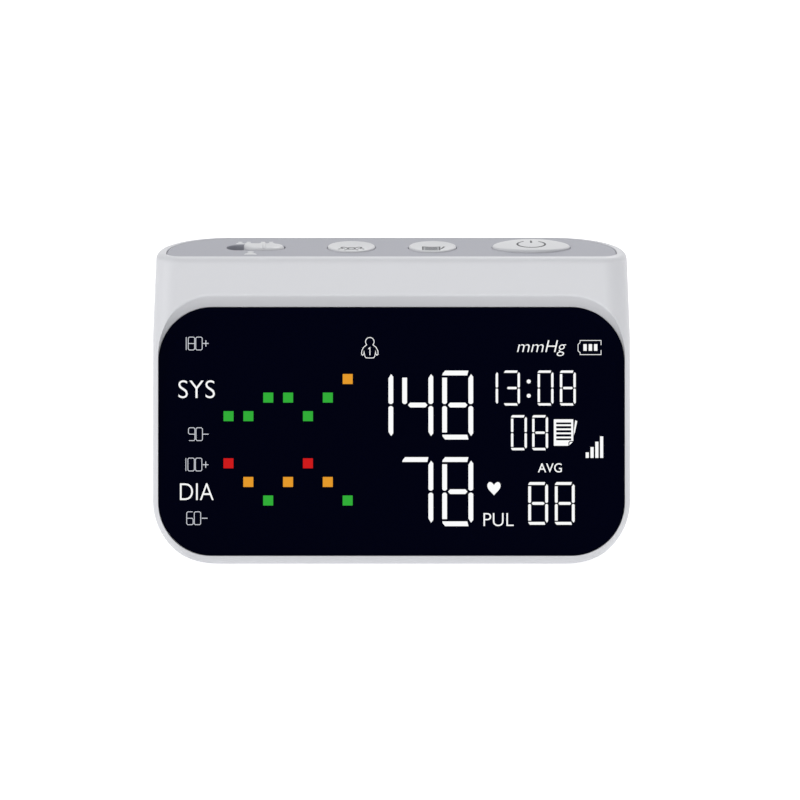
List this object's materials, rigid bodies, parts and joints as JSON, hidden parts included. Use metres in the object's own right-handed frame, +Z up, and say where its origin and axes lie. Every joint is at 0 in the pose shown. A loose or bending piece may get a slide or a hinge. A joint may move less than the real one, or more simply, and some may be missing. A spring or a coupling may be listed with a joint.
{
  "type": "upper arm blood pressure monitor",
  "caption": "Upper arm blood pressure monitor: a white wedge housing with a large tilted black display window, a grey top inlay with round and oval press buttons and a slide switch",
  "frame": {"origin": "centre of the bounding box's underside, on the table between the rubber feet", "axes": "+X to the right as the user faces the display, +Y from the display to the battery door, +Z up"},
  "size_m": [0.13, 0.0445, 0.084],
  "materials": {
    "housing_white": "satin injection-moulded ABS",
    "plate_grey": "fine satin, slightly darker than the housing",
    "window_black": "clear acrylic printed black behind",
    "panel_dark": "display glass, dark when unlit",
    "frame_white": "plain moulded",
    "board_green": "solder mask",
    "chip_black": "plain",
    "bare_steel": "plated sheet steel",
    "button_white": "fine satin",
    "pump_black": "plain moulded",
    "rubber_grey": "matt",
    "socket_grey": "plain moulded",
    "tube_rubber": "translucent silicone",
    "cell_wrap": null,
    "ribbon_amber": "polyimide film"
  },
  "bodies": {
    "root": {"front_housing": "housing_white", "rear_housing": "housing_white", "top_plate": "plate_grey", "display_window": "window_black", "display_panel": "panel_dark", "display_frame": "frame_white", "main_board": "board_green", "board_chips": "chip_black", "radio_module": "bare_steel", "buzzer": "chip_black", "pressure_sensor": "frame_white", "button_board": "board_green", "push_switches": "chip_black", "slide_switch": "bare_steel", "pump_motor": "bare_steel", "pump_head": "pump_black", "pump_cushion": "rubber_grey", "release_valve": "bare_steel", "air_manifold": "chip_black", "air_socket": "socket_grey", "air_tubes": "tube_rubber", "batteries": "cell_wrap", "battery_springs": "bare_steel", "battery_contacts": "bare_steel", "power_socket": "bare_steel", "socket_board": "board_green", "ribbon_cables": "ribbon_amber", "rubber_feet": "rubber_grey", "housing_screws": "bare_steel", "board_screws": "bare_steel"},
    "user_key": {"user_button": "button_white"},
    "memory_key": {"memory_button": "button_white"},
    "power_key": {"power_button": "button_white"},
    "slider": {"switch_knob": "button_white", "switch_lever": "chip_black"},
    "door": {"battery_door": "housing_white"}
  },
  "joints": [
    {"name": "user_press", "type": "slide", "parent": "root", "child": "user_key", "axis": [0, 0, -1], "range_m": [0, 0.0006], "stiffness_N_per_m": 800},
    {"name": "memory_press", "type": "slide", "parent": "root", "child": "memory_key", "axis": [0, 0, -1], "range_m": [0, 0.0006], "stiffness_N_per_m": 800},
    {"name": "power_press", "type": "slide", "parent": "root", "child": "power_key", "axis": [0, 0, -1], "range_m": [0, 0.0006], "stiffness_N_per_m": 800},
    {"name": "switch_slide", "type": "slide", "parent": "root", "child": "slider", "axis": [-1, 0, 0], "range_m": [0, 0.0044]},
    {"name": "door_tilt", "type": "hinge", "parent": "root", "child": "door", "pos_m": [0.0164, 0.02225, 0.008], "axis": [-1, 0, 0], "range_deg": [0, 70]}
  ]
}
